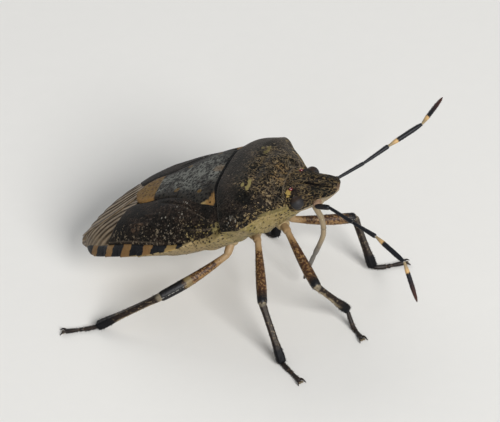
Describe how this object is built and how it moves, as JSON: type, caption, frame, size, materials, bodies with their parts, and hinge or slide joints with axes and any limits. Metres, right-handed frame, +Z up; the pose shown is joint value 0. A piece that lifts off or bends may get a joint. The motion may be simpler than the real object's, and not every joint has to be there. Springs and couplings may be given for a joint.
{
  "type": "shield bug",
  "caption": "Life-size shield bug standing on six feet: flat shield-shaped body with folded wings, short head, long jointed feelers and a hanging beak.",
  "frame": {"origin": "centre of the bounding box's base, on the floor that the six feet stand on", "axes": "+X towards the head, along the body; +Y to the insect's left; +Z up"},
  "size_m": [0.0242, 0.0178, 0.0095],
  "materials": {
    "dark_shell": "satin, punctured",
    "shield": "satin with a grey bloom",
    "membrane": "thin, glossy",
    "belly": "satin, pale with dark punctures",
    "head": "satin, mottled",
    "eye": "gloss",
    "feeler": "gloss black with pale rings",
    "beak": "satin",
    "femur": "satin, speckled",
    "tibia": "satin",
    "tarsus": "satin, black"
  },
  "bodies": {
    "root": {"head": "head", "eye_left": "eye", "eye_right": "eye", "feeler_left": "feeler", "feeler_right": "feeler", "beak": "beak", "pronotum": "dark_shell", "scutellum": "shield", "corium_left": "dark_shell", "corium_right": "dark_shell", "membrane_left": "membrane", "membrane_right": "membrane", "thorax": "belly", "abdomen": "belly", "femur_front_right": "femur", "tibia_front_right": "tibia", "tarsus_front_right": "tarsus", "femur_front_left": "femur", "tibia_front_left": "tibia", "tarsus_front_left": "tarsus", "femur_middle_right": "femur", "tibia_middle_right": "tibia", "tarsus_middle_right": "tarsus", "femur_middle_left": "femur", "tibia_middle_left": "tibia", "tarsus_middle_left": "tarsus", "femur_hind_right": "femur", "tibia_hind_right": "tibia", "tarsus_hind_right": "tarsus", "femur_hind_left": "femur", "tibia_hind_left": "tibia", "tarsus_hind_left": "tarsus"}
  },
  "joints": []
}
